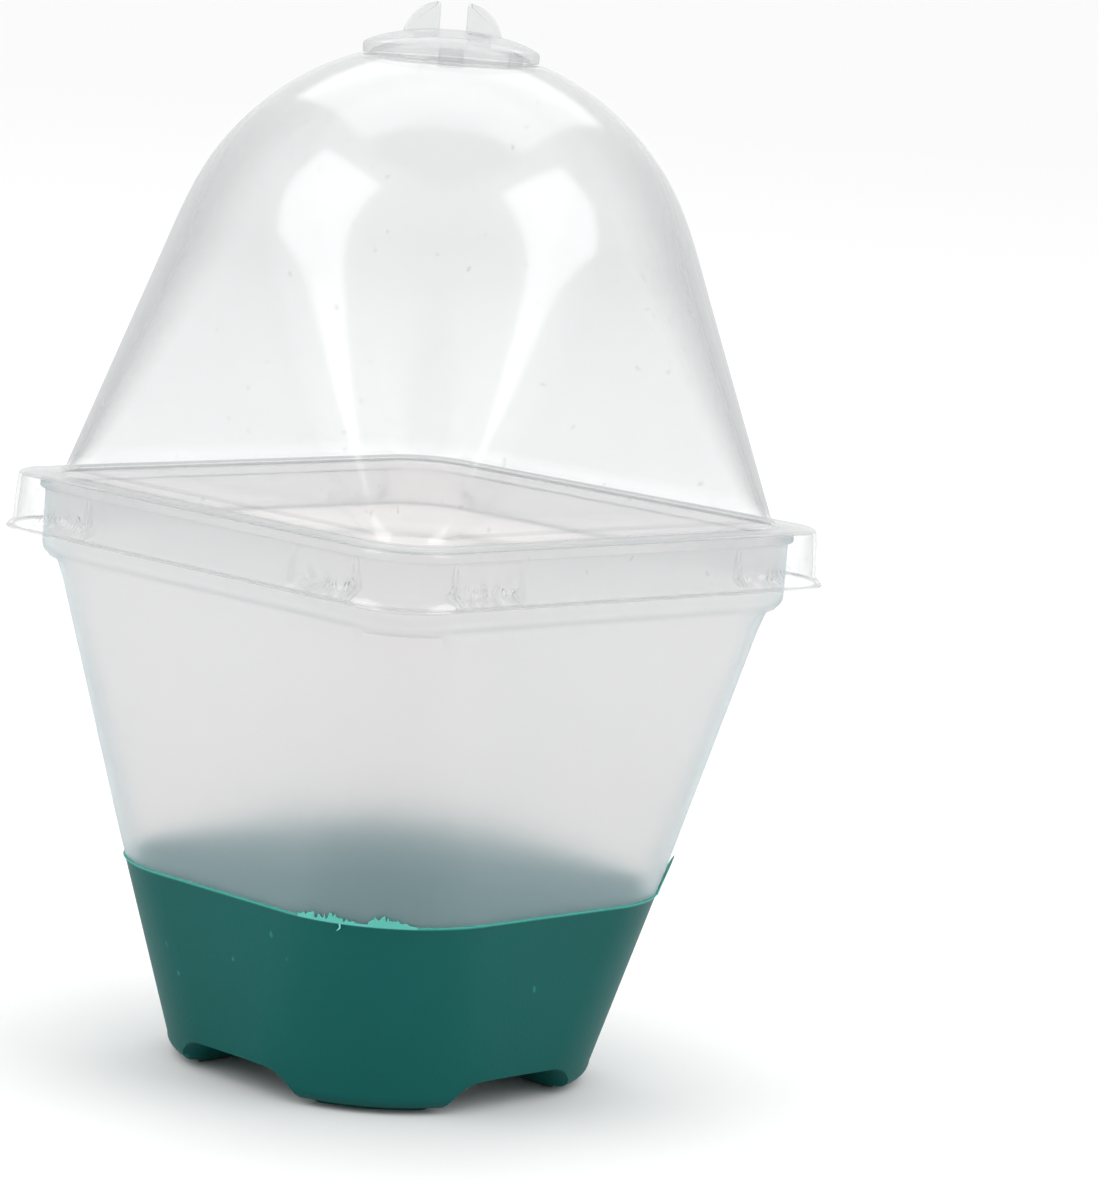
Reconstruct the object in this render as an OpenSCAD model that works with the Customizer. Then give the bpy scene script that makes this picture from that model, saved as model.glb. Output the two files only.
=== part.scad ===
// Seed starter pot: a tapered square pot with a soft moulded base, a clear
// humidity dome that snaps over the rim, and a vent dial that turns on top.
// Millimetres, +Z up. The origin is on the ground, midway between the feet.

/* [Pot] */
// Height of the dome's ledge above the ground
ledge_z = 97.4; // [90:0.1:110]
// Half width of the pot's straight collar
collar_half_w = 47.4; // [47:0.1:47.6]
// Corner radius of the collar
collar_corner_r = 10.7; // [9:0.1:12]
// Height of the collar, down from the ledge
collar_h = 13.5; // [12:0.1:16]
// Half width of the pot wall just under the collar
wall_top_half_w = 46; // [44:0.1:46.2]
// Corner radius of the wall just under the collar
wall_top_corner_r = 12.2; // [11:0.1:15]
// Wall thickness of the pot
pot_wall = 1.2; // [1:0.1:1.6]
// How far the small lip round the rim stands out
rim_lip = 0.9; // [0.5:0.1:0.9]

/* [Soft base] */
// Height of the top edge of the soft base
base_h = 33.7; // [28:0.1:40]
// Half width of the base at its top edge
base_top_half_w = 38.9; // [38:0.1:40]
// Corner radius of the base at its top edge
base_top_corner_r = 23.2; // [20:0.1:25]
// Half width of the base at the ground, before its edge is rounded
foot_half_w = 33; // [32:0.1:35]
// Corner radius of the base at the ground
foot_corner_r = 28; // [25:0.1:30]
// Height of the arched channels between the feet
channel_h = 5.5; // [4:0.1:7]
// Width of a channel at its roof
channel_roof_w = 18; // [14:0.5:22]
// Width of a channel at the ground
channel_foot_w = 28; // [24:0.5:32]
// Thickness of the floor over the channels
floor_t = 1.6; // [1.2:0.1:2.5]
// Length of the lap where the base grips the pot
lap_h = 8; // [5:0.5:12]
// Diameter of the drain hole in the middle
drain_centre_d = 6; // [4:0.5:10]
// Diameter of the four drain holes round it
drain_outer_d = 4; // [3:0.5:6]

/* [Dome] */
// Sheet thickness of the dome
dome_t = 0.6; // [0.5:0.1:0.8]
// Half width of the ledge at its outer edge
ledge_half_w = 50; // [49.8:0.1:50.6]
// Corner radius of the ledge
ledge_corner_r = 8; // [6:0.5:10]
// Height of the skirt below the ledge
skirt_h = 9.4; // [8.5:0.1:10.5]
// How far the skirt's faces flare out by their lower edge
skirt_flare = 2.2; // [1.8:0.1:2.4]
// Half width of the dome where it rises from the ledge
dome_foot_half_w = 44.9; // [43:0.1:45.5]
// Corner radius of the dome where it rises from the ledge
dome_foot_corner_r = 8.7; // [7:0.1:11]
// Height above the ledge where the dome becomes round
shoulder_h = 47.9; // [40:0.5:52]
// Radius of the round cap
cap_r = 45.4; // [44:0.1:47]
// Height of the cap's centre above the ledge
cap_centre_h = 30.9; // [28:0.5:34]
// Radius of the flat top under the dial
flat_top_r = 15.4; // [15:0.1:18]
// Distance from a face's middle to the middle of a snap pocket
pocket_offset = 32.4; // [30:0.1:33]
// Width of a snap pocket
pocket_w = 14.2; // [10:0.1:15]
// Depth of a snap pocket at its ridge
pocket_d = 2.2; // [1.8:0.1:2.3]

/* [Vent dial] */
// Radius of the dial
dial_r = 14.7; // [13.5:0.1:15]
// Thickness of the dial's rim
dial_rim_t = 1.6; // [1.2:0.1:2]
// Rise of the dial from its rim to its middle
dial_rise = 3.1; // [2:0.1:4]
// Height of the two finger fins above the dial's middle
fin_h = 4.5; // [4:0.1:8]
// Thickness of a fin
fin_t = 1.2; // [1:0.1:2]
// Distance from the axis to a fin's straight edge
fin_inner = 2.2; // [2:0.1:4]
// Distance from the axis to a fin's outer end
fin_outer = 8.4; // [7:0.1:10]
// Direction of the fins, from the X axis
fin_angle = 46; // [0:1:180]
// Diameter of the vent holes
vent_d = 4; // [3:0.1:5]
// Distance from the axis to a vent hole
vent_offset = 7.2; // [6.5:0.1:7.5]
// Turn of the dial from closed to open
vent_turn = 90; // [60:5:120]

/* [Hidden] */
eps = 0.01;
$fn = 96;
hull_fn = 64;
// Clearances between pieces that move
rest_gap = 0.25;
pivot_gap = 0.05;
peg_gap = 0.3;
rim_z = ledge_z - dome_t - rest_gap;
collar_z = ledge_z - collar_h;
step_h = 1.6;
lap_skin = pot_wall / 2;
foot_edge_h = 3.6;
foot_edge_mid_h = 1.3;
foot_edge_mid_in = 1.1;
foot_edge_in = 3;
pad_h = 0.5;
pad_in = 1.4;
floor_z = channel_h + floor_t;
drain_ring_r = 17;
flat_top_z = ledge_z + cap_centre_h + sqrt(cap_r * cap_r - flat_top_r * flat_top_r);
shoulder_a = asin((shoulder_h - cap_centre_h) / cap_r);
flat_top_a = acos(flat_top_r / cap_r);
cap_rings = 9;
cap_fn = 80;
skirt_z = ledge_z - skirt_h;
skirt_corner_r = ledge_corner_r + 1.7 * skirt_flare;
pocket_top = 2.1;
pocket_ridge = 6.9;
pocket_foot = 9;
dial_z = flat_top_z + rest_gap;
hub_r = 2.1;
hub_head_r = 2.5;
hub_head_h = 0.6;
hub_gap = 0.15;
peg_r = 1.2;
peg_offset = 11.4;
peg_angle = fin_angle - 20;
peg_drop = 1.1;
vent_angle = fin_angle - 52;
dial_skin = 1.3;
dial_steps = 10;
fin_curve = 1.3;
hub_drop = rest_gap + dome_t + hub_gap;

// Square with round corners, centred on the axis
module soft_square(half_w, corner_r) {
    inner = half_w - corner_r;
    square([2 * half_w, 2 * inner], center = true);
    square([2 * inner, 2 * half_w], center = true);
    for (x = [-1, 1], y = [-1, 1])
        translate([x * inner, y * inner]) circle(corner_r);
}

// Straight block over a soft square, from z0 up to z1
module straight(half_w, corner_r, z0, z1) {
    translate([0, 0, z0]) linear_extrude(z1 - z0) soft_square(half_w, corner_r);
}

// Tapered block between two soft squares, each [half width, corner radius, height]
module taper(low, high) {
    hull()
        for (s = [low, high], x = [-1, 1], y = [-1, 1])
            translate([x * (s[0] - s[1]), y * (s[0] - s[1]), s[2] - (s == high ? eps : 0)])
                cylinder(h = eps, r = s[1], $fn = hull_fn);
}

// A section moved inwards by t
function inset(s, t) = [s[0] - t, s[1] - t, s[2]];

// The wall's outer section at height z, from the collar down to the ground
function wall_at(z) = z >= base_h
    ? mix([wall_top_half_w, wall_top_corner_r], [base_top_half_w, base_top_corner_r],
          (collar_z - z) / (collar_z - base_h), z)
    : mix([base_top_half_w, base_top_corner_r], [foot_half_w, foot_corner_r],
          (base_h - z) / base_h, z);

function mix(a, b, k, z) = [a[0] + (b[0] - a[0]) * k, a[1] + (b[1] - a[1]) * k, z];

module pot() {
    collar = [collar_half_w, collar_corner_r];
    color([0.86, 0.89, 0.89, 0.6])
    difference() {
        union() {
            straight(collar[0] + rim_lip, collar[1] + rim_lip, rim_z - step_h, rim_z);
            straight(collar[0], collar[1], collar_z + step_h - eps, rim_z - step_h + eps);
            taper(wall_at(collar_z), [collar[0], collar[1], collar_z + step_h]);
            taper(wall_at(base_h), wall_at(collar_z));
            taper(inset(wall_at(base_h - lap_h), lap_skin), inset(wall_at(base_h), lap_skin));
        }
        straight(collar[0] - pot_wall, collar[1] - pot_wall, collar_z + step_h, rim_z + 1);
        taper(inset(wall_at(base_h), pot_wall), inset([wall_top_half_w, wall_top_corner_r,
              collar_z + step_h + eps], pot_wall));
        taper(inset(wall_at(base_h - lap_h - eps), pot_wall),
              inset(wall_at(base_h) + [0, 0, 2 * eps], pot_wall));
    }
}

module soft_base() {
    edge = wall_at(foot_edge_h);
    color([0.10, 0.38, 0.34])
    difference() {
        union() {
            taper(edge, wall_at(base_h));
            taper(inset([edge[0], edge[1], foot_edge_mid_h], foot_edge_mid_in), edge + [0, 0, eps]);
            taper(inset([edge[0], edge[1], pad_h], foot_edge_in),
                  inset([edge[0], edge[1], foot_edge_mid_h + eps], foot_edge_mid_in));
            straight(edge[0] - pad_in - foot_edge_in, edge[1] - pad_in - foot_edge_in, 0, 1);
        }
        taper(inset(wall_at(base_h - lap_h), lap_skin),
              inset(wall_at(base_h) + [0, 0, eps], lap_skin));
        taper(inset(wall_at(floor_z), pot_wall), inset(wall_at(base_h - lap_h) + [0, 0, eps],
              pot_wall));
        for (a = [0, 90])
            rotate([90, 0, a]) channel();
        for (a = [0:90:270])
            rotate(a) translate([drain_ring_r, 0, 0]) cylinder(h = floor_z + 1, d = drain_outer_d);
        cylinder(h = floor_z + 1, d = drain_centre_d);
    }
}

// Arched channel that runs under the base from face to face
module channel() {
    reach = 2 * foot_half_w + 20;
    translate([0, 0, -reach / 2])
        linear_extrude(reach)
            polygon([[-channel_foot_w / 2, -1], [channel_foot_w / 2, -1],
                     [channel_foot_w / 2, 0], [channel_roof_w / 2, channel_h],
                     [-channel_roof_w / 2, channel_h], [-channel_foot_w / 2, 0]]);
}

module dome() {
    color([0.93, 0.95, 0.96, 0.3])
    difference() {
        difference() {
            dome_form(0);
            pockets(0);
        }
        difference() {
            dome_form(dome_t);
            pockets(dome_t);
        }
        vent_cuts();
    }
}

// The dome's outside for t = 0, and its inside for t = the sheet's thickness
module dome_form(t) {
    top_z = ledge_z - t;
    low_z = skirt_z - (t > 0 ? 1 : 0);
    taper(inset([ledge_half_w + skirt_flare, skirt_corner_r, low_z], t),
          inset([ledge_half_w, ledge_corner_r, top_z], t));
    hull() {
        for (x = [-1, 1], y = [-1, 1])
            translate([x, y, 0] * (dome_foot_half_w - dome_foot_corner_r) + [0, 0, top_z - 0.2])
                cylinder(h = eps, r = dome_foot_corner_r - t, $fn = hull_fn);
        for (i = [0:cap_rings])
            translate([0, 0, cap_z(i) - t * cap_rise(i)])
                cylinder(h = eps, r = cap_ring_r(i) - t * cap_run(i), $fn = cap_fn);
    }
}

// Rings of the round cap, from the shoulder up to the edge of the flat top
function cap_angle(i) = shoulder_a + (flat_top_a - shoulder_a) * i / cap_rings;
function cap_rise(i) = i == cap_rings ? 1 : sin(cap_angle(i));
function cap_run(i) = cos(cap_angle(i));
function cap_z(i) = ledge_z + cap_centre_h + cap_r * sin(cap_angle(i)) - eps;
function cap_ring_r(i) = cap_r * cos(cap_angle(i));

// Eight snap pockets pressed into the skirt, two on each face
module pockets(t) {
    for (a = [0:90:270], side = [-1, 1])
        rotate(a) translate([side * pocket_offset, -ledge_half_w, 0]) pocket(t);
}

// One pocket: it slopes in from its top to a ridge, and out again to its foot
module pocket(t) {
    width = pocket_w + 2 * t;
    top = ledge_z - pocket_top + t / 2;
    ridge = ledge_z - pocket_ridge;
    foot = ledge_z - pocket_foot;
    deep = pocket_d - 1.5 + t;
    translate([-width / 2, 0, 0])
        rotate([90, 0, 90])
            linear_extrude(width)
                polygon([[-4, foot], [-1.9 + t, foot], [deep, ridge], [deep, ridge + 1],
                         [-0.4 + t, top], [-4, top]]);
}

// Pivot hole, vent holes and the peg's slot in the flat top
module vent_cuts() {
    slot_r = peg_r + peg_gap;
    translate([0, 0, flat_top_z - 2 * dome_t]) {
        cylinder(h = 3 * dome_t, r = hub_r + pivot_gap);
        for (a = [0, 180])
            rotate(vent_angle + vent_turn + a) translate([vent_offset, 0, 0])
                cylinder(h = 3 * dome_t, d = vent_d);
        rotate(peg_angle)
            rotate_extrude(angle = vent_turn)
                translate([peg_offset - slot_r, 0]) square([2 * slot_r, 3 * dome_t]);
        for (a = [0, vent_turn])
            rotate(peg_angle + a) translate([peg_offset, 0, 0])
                cylinder(h = 3 * dome_t, r = slot_r);
    }
}

module vent_dial() {
    color([0.88, 0.90, 0.91, 0.45])
    translate([0, 0, dial_z])
    difference() {
        union() {
            difference() {
                rotate_extrude()
                    polygon(concat([[0, 0]], crown(dial_r, dial_rim_t)));
                rotate_extrude()
                    polygon(concat([[0, -1], [dial_r - dial_skin, -1]],
                                   crown(dial_r - dial_skin, dial_rim_t - dial_skin)));
            }
            translate([0, 0, -hub_drop])
                cylinder(h = hub_drop + dial_rise + dial_rim_t - eps, r = hub_r);
            translate([0, 0, -hub_drop - hub_head_h])
                cylinder(h = hub_head_h, r1 = hub_r, r2 = hub_head_r);
            rotate(peg_angle) translate([peg_offset, 0, -peg_drop])
                cylinder(h = peg_drop + dial_rim_t, r = peg_r);
            for (a = [0, 180])
                rotate([90, 0, fin_angle + a]) fin();
        }
        for (a = [0, 180])
            rotate(vent_angle + a) translate([vent_offset, 0, -eps])
                cylinder(h = dial_rim_t + dial_rise + 1, d = vent_d);
    }
}

// Crowned half section of the dial: a rim of height z0 and radius r, then the domed top
function crown(r, z0) = concat([[r, 0]], [for (i = [dial_steps:-1:0])
    let (x = r * sin(90 * i / dial_steps)) [x, z0 + dial_rise * pow(1 - pow(x / r, 2), 0.75)]]);

// Finger fin: straight on the inside, curving down to its outer end
module fin() {
    root = dial_rim_t + dial_rise / 3;
    top = dial_rim_t + dial_rise + fin_h;
    steps = 14;
    translate([0, 0, -fin_t / 2])
        linear_extrude(fin_t)
            polygon(concat([[fin_inner, root]],
                [for (i = [0:steps]) let (a = 90 * i / steps)
                    [fin_inner + (fin_outer - fin_inner) * pow(cos(a), fin_curve),
                     root + (top - root) * pow(sin(a), fin_curve)]],
                [[fin_inner, top]]));
}

pot();
soft_base();
dome();
vent_dial();
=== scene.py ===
"""Seed starter pot: frosted square pot, soft green base, clear humidity dome and a vent dial."""

import math

import bmesh
import bpy
from bpy.props import FloatProperty, FloatVectorProperty, PointerProperty
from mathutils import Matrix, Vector, kdtree, noise


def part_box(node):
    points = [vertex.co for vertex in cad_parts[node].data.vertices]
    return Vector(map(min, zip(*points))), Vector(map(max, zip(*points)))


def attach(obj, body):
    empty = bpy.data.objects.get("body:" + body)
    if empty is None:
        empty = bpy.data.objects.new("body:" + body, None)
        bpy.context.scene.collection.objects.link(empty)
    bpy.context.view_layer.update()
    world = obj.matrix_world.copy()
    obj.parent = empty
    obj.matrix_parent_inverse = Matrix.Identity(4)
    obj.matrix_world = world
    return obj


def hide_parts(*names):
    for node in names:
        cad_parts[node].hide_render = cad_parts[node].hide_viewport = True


bl_info = {
    "name": "Seed starter pot",
    "version": (1, 0, 0),
    "blender": (4, 5, 0),
    "location": "View3D > Sidebar > Seed pot",
    "description": "Builds the looks of a seed starter pot round its packed frame",
    "category": "Add Mesh",
}

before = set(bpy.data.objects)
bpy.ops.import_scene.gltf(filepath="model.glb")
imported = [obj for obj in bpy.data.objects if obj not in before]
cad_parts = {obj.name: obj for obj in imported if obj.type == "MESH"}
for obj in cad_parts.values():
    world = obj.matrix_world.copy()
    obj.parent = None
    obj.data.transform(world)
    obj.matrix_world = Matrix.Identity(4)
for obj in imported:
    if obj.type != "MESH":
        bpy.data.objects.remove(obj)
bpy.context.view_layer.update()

MM = 0.001
POT_LOW, POT_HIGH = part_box("pot")
BASE_LOW, BASE_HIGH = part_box("soft_base")
DOME_LOW, DOME_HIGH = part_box("dome")
DIAL_LOW, DIAL_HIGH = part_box("vent_dial")
SKIRT_H = 9.4 * MM
LEDGE_Z = DOME_LOW.z + SKIRT_H
DOME_SWELL = 4.6 * MM  # how much rounder the dome's corners are part of the way up
DRAIN_RADIUS, SMALL_DRAIN_RADIUS, DRAIN_OFFSET = 3 * MM, 2 * MM, 17 * MM
HUB_HOLE_RADIUS = 2.15 * MM
PEG_OFFSET = 11.4 * MM
HEAD_ON_MIRROR = 0.04  # share of light that plain plastic mirrors when seen head on
VIEW_DIRECTION = 45.967  # degrees round from the -Y face


# ---------------------------------------------------------------- sections


def quarter_turns(points):
    """Repeats one face's points, given for the face that looks along -Y, round all four faces."""
    ring = list(points)
    for _ in range(3):
        points = [Vector((-p.y, p.x, p.z)) for p in points]
        ring += points
    return ring


def soft_square(half, corner, z, columns, arcs, dent=None):
    """Points round a square with round corners; columns are distances from a face's middle."""
    flat = half - corner
    reach = columns[-1]
    first = math.asin(min(1, (reach - flat) / corner)) if reach > flat else 0.0

    def depth(x):
        return half if x <= flat else flat + math.sqrt(max(0, corner**2 - (x - flat) ** 2))

    right = [(x, depth(x)) for x in columns[:-1]]
    for k in range(arcs):
        a = first + (math.pi / 4 - first) * k / arcs
        right.append((flat + corner * math.sin(a), flat + corner * math.cos(a)))
    diagonal = flat + corner * math.sin(math.pi / 4)
    left = [(-x, y) for x, y in reversed(right[1:])]
    side = [(-diagonal, diagonal), *left, *right]
    if dent:
        side = [(x, y - dent(x, z)) for x, y in side]
    return quarter_turns([Vector((x, -y, z)) for x, y in side])


def shrunk_columns(columns, flat):
    """The same columns squeezed into a face whose flat part is shorter."""
    return [x * flat / columns[-1] for x in columns]


def circle(radius, z, count):
    """Points round a circle on the axis."""
    return [
        Vector((radius * math.cos(a), radius * math.sin(a), z))
        for a in (math.tau * i / count for i in range(count))
    ]


# ---------------------------------------------------------------- modelling


def deselect():
    """Leaves edit mode and clears the selection."""
    if bpy.context.object and bpy.context.object.mode != "OBJECT":
        bpy.ops.object.mode_set(mode="OBJECT")
    bpy.ops.object.select_all(action="DESELECT")


def place_loop(obj, now, new):
    """Moves the selected loop from its present points to the new ones."""
    tree = kdtree.KDTree(len(now))
    for i, p in enumerate(now):
        tree.insert(p, i)
    tree.balance()
    mesh = bmesh.from_edit_mesh(obj.data)
    for v in mesh.verts:
        if v.select:
            v.co = new[tree.find(v.co)[1]]
    bmesh.update_edit_mesh(obj.data)


def loft(name, sections, ends=(True, True), joined=False):
    """Adds a ring, extrudes it from section to section, and closes it at its ends or on itself."""
    deselect()
    first = sections[0]
    count = len(first)
    bpy.ops.mesh.primitive_circle_add(vertices=count, radius=1.0)
    obj = bpy.context.object
    obj.name = obj.data.name = name
    bpy.ops.object.mode_set(mode="EDIT")
    bpy.ops.mesh.select_mode(type="VERT")
    bpy.ops.mesh.select_all(action="SELECT")
    mesh = bmesh.from_edit_mesh(obj.data)
    mesh.verts.ensure_lookup_table()
    for i, p in enumerate(first):
        mesh.verts[i].co = p
    bmesh.update_edit_mesh(obj.data)
    if ends[0] and not joined:
        bpy.ops.mesh.edge_face_add()
        bpy.ops.mesh.select_mode(type="EDGE")
    bpy.ops.mesh.select_mode(type="VERT")
    now = first
    for k, section in enumerate(sections[1:]):
        if k == 0 and ends[0] and not joined:
            bpy.ops.mesh.extrude_edges_move()
        else:
            bpy.ops.mesh.extrude_region_move()
        place_loop(obj, now, section)
        now = section
    if joined:
        bpy.ops.mesh.extrude_region_move()
        place_loop(obj, now, first)
    elif ends[1]:
        bpy.ops.mesh.edge_face_add()
    tidy_mesh()
    bpy.ops.object.mode_set(mode="OBJECT")
    return obj


def tidy_mesh(distance=1e-6):
    """Merges doubles and turns all faces outwards, in edit mode."""
    bpy.ops.mesh.select_mode(type="VERT")
    bpy.ops.mesh.select_all(action="SELECT")
    bpy.ops.mesh.remove_doubles(threshold=distance)
    bpy.ops.mesh.dissolve_degenerate(threshold=distance)
    bpy.ops.mesh.select_all(action="SELECT")
    bpy.ops.mesh.normals_make_consistent(inside=False)


def activate(obj):
    """Makes one object the only selected and active one."""
    deselect()
    obj.select_set(True)
    bpy.context.view_layer.objects.active = obj


def turn_mesh(obj, angle):
    """Turns an object's mesh about the upright axis."""
    activate(obj)
    bpy.ops.object.mode_set(mode="EDIT")
    mesh = bmesh.from_edit_mesh(obj.data)
    c, s = math.cos(angle), math.sin(angle)
    for v in mesh.verts:
        v.co = Vector((c * v.co.x - s * v.co.y, s * v.co.x + c * v.co.y, v.co.z))
    bmesh.update_edit_mesh(obj.data)
    bpy.ops.object.mode_set(mode="OBJECT")


def apply_modifier(obj, kind, **settings):
    """Adds a modifier and applies it."""
    activate(obj)
    modifier = obj.modifiers.new(kind.title(), kind)
    for key, value in settings.items():
        setattr(modifier, key, value)
    bpy.ops.object.modifier_apply(modifier=modifier.name)


def combine(obj, tool, operation):
    """Cuts the tool from the object or joins it on, and removes the tool."""
    apply_modifier(obj, "BOOLEAN", object=tool, operation=operation, solver="EXACT")
    bpy.data.objects.remove(tool)


def smooth(obj, angle=38.0):
    """Smooth shading, with edges sharper than the angle left crisp."""
    activate(obj)
    bpy.ops.object.shade_smooth_by_angle(angle=math.radians(angle))


def drill(obj, centre, radius, low, high, count=48):
    """Cuts an upright round hole."""
    shift = Vector((centre[0], centre[1], 0))
    rings = [[p + shift for p in circle(radius, z, count)] for z in (low, high)]
    combine(obj, loft("drill", rings), "DIFFERENCE")


# ---------------------------------------------------------------- finishes


class Wire:
    """One socket's number; Python's operators on it add Math nodes."""

    def __init__(self, finish, socket):
        self.finish, self.socket = finish, socket

    def math(self, operation, *values, clamp=False):
        settings = {"operation": operation, "use_clamp": clamp}
        return self.finish.add("ShaderNodeMath", settings, dict(enumerate(values)))

    def __add__(self, other):
        return self.math("ADD", self, other)

    def __sub__(self, other):
        return self.math("SUBTRACT", self, other)

    def __rsub__(self, other):
        return self.math("SUBTRACT", other, self)

    def __mul__(self, other):
        return self.math("MULTIPLY", self, other)

    def __truediv__(self, other):
        return self.math("DIVIDE", self, other)

    def __pow__(self, other):
        return self.math("POWER", self, other)

    def clamped(self):
        return self.math("ADD", self, 0.0, clamp=True)

    __radd__, __rmul__ = __add__, __mul__


class Finish:
    """A material under construction."""

    def __init__(self, name):
        self.material = bpy.data.materials.new(name)
        self.material.use_nodes = True
        self.tree = self.material.node_tree
        self.tree.nodes.clear()

    def add(self, kind, settings=None, sockets=None, out=0):
        """Adds a node, sets it up, fills or links its sockets and returns one of its outputs."""
        node = self.tree.nodes.new(kind)
        for key, value in (settings or {}).items():
            if key == "stops":
                ramp = node.color_ramp
                while len(ramp.elements) < len(value):
                    ramp.elements.new(0.5)
                for element, (place, level) in zip(ramp.elements, value):
                    element.position = place
                    element.color = (level, level, level, 1)
            else:
                setattr(node, key, value)
        for key, value in (sockets or {}).items():
            if isinstance(value, Wire):
                self.tree.links.new(value.socket, node.inputs[key])
            else:
                node.inputs[key].default_value = value
        return Wire(self, node.outputs[out]) if node.outputs else node

    def place(self):
        """Object coordinates."""
        return self.add("ShaderNodeTexCoord", out="Object")

    def axis(self, which):
        """One of the three Object coordinates, in metres."""
        return self.add("ShaderNodeSeparateXYZ", None, {0: self.place()}, out=which)

    def grain(self, scale, detail=2.0, stretch=(1, 1, 1)):
        """Noise between 0 and 1 on Object coordinates, optionally drawn out along an axis."""
        where = self.add("ShaderNodeMapping", None, {"Vector": self.place(), "Scale": stretch})
        values = {"Vector": where, "Scale": scale, "Detail": detail}
        return self.add("ShaderNodeTexNoise", None, values)

    def ramp(self, value, *stops):
        return self.add("ShaderNodeValToRGB", {"stops": stops}, {0: value})

    def facing(self):
        """0 where the surface faces the eye, 1 where it turns away."""
        return self.add("ShaderNodeLayerWeight", None, {"Blend": 0.5}, out="Facing")

    def blend(self, factor, one, two):
        """One colour into another."""
        return self.add(
            "ShaderNodeMix", {"data_type": "RGBA"}, {0: factor, 6: rgba(one), 7: rgba(two)}, out=2
        )

    def bumps(self, height, strength, distance):
        values = {"Height": height, "Strength": strength, "Distance": distance}
        return self.add("ShaderNodeBump", None, values)

    def shade(self, kind, **sockets):
        named = {key.replace("_", " "): value for key, value in sockets.items()}
        return self.add("ShaderNodeBsdf" + kind, None, named)

    def mixed(self, factor, one, two):
        return self.add("ShaderNodeMixShader", None, {0: factor, 1: one, 2: two})

    def done(self, surface):
        self.add("ShaderNodeOutputMaterial", None, {"Surface": surface})
        return self.material


def rgba(colour):
    return colour if isinstance(colour, Wire) else (*colour[:3], 1.0)


def clear_finish(name, haze_and_painted_shade_colour, haze, edge, power, roughness, crest_z):
    """Clear glossy plastic: it mirrors more towards its outline. Its grey is partly its own haze
    and partly painted shade, darker towards its outline and along painted lines at the ledge's edge
    and the skirt's lip; it is paler on the ledge and skirt and, with painted light from above,
    towards the cap.
    """
    f = Finish(name)
    facing = f.facing()
    mirror = HEAD_ON_MIRROR + (1 - HEAD_ON_MIRROR) * facing**5.0
    specks = f.ramp(f.grain(420, 1), (0.765, 0.0), (0.79, 1.0))
    streaks = f.grain(30, 3, (1, 1, 0.25))
    height = f.axis("Z")
    # Paler towards the cap: painted light from above, and partly a thinner sheet there.
    thin_sheet_and_top_light = ((height - (crest_z - 34 * MM)) / (26 * MM)).clamped()
    # Painted lightening: the grey veil is cut to 0.3 on the ledge and the skirt.
    wall = ((height - (LEDGE_Z + 1 * MM)) / (3 * MM)).clamped() * 0.7 + 0.3
    clear = f.shade("Transparent", Color=(0.985, 0.987, 0.988, 1))
    gloss = f.shade("Glossy", Color=(1, 1, 1, 1), Roughness=roughness + 0.03 * streaks)
    body = f.shade(
        "Principled",
        Base_Color=f.blend(streaks, haze_and_painted_shade_colour, [c * 0.94 for c in haze_and_painted_shade_colour]),
        Roughness=0.35 + 0.2 * streaks,
    )
    # Painted shade: the grey grows towards the outline, in place of the dark rims that refraction
    # gives.
    haze_and_painted_shade = (haze + edge * facing**power) * (0.85 + 0.3 * streaks) * wall
    # Painted shade: a dark line right along the outline, then painted light from above pales the
    # cap.
    haze_and_painted_shade = (haze_and_painted_shade + 0.7 * facing**14.0) * (1 - 0.75 * thin_sheet_and_top_light)
    # Painted shade: dark lines along the ledge's edge and the skirt's lip.
    for painted_line_z in (LEDGE_Z - 0.22 * MM, DOME_LOW.z + 0.3 * MM):
        away = f.add("ShaderNodeMath", {"operation": "ABSOLUTE"}, {0: height - painted_line_z})
        haze_and_painted_shade = haze_and_painted_shade + 0.5 * (1 - away / (0.34 * MM)).clamped()
    haze_and_painted_shade = (haze_and_painted_shade + 0.12 * specks).clamped()
    return f.done(f.mixed(haze_and_painted_shade, f.mixed(mirror.clamped(), clear, gloss), body))


def frosted_finish(name, milk_colour, glow_colour, clearness, roughness):
    """Frosted polypropylene: light goes through, and what is behind goes soft."""
    f = Finish(name)
    cloud = f.grain(22, 3, (1, 1, 0.4))
    fine = f.grain(60, 2)
    through = f.shade(
        "Principled",
        Base_Color=f.blend(cloud, glow_colour, [c * 0.985 for c in glow_colour]),
        Roughness=roughness + 0.03 * cloud,
        IOR=1.2,
        Transmission_Weight=1.0,
    )
    milk = f.shade(
        "Principled",
        Base_Color=f.blend(cloud, milk_colour, [c * 0.96 for c in milk_colour]),
        Roughness=0.42 + 0.1 * fine,
        Specular_IOR_Level=0.3,
    )
    murk = (1 - clearness) * (0.9 + 0.2 * cloud) + 0.07 * f.facing() ** 3.0
    return f.done(f.mixed(murk.clamped(), through, milk))


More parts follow.
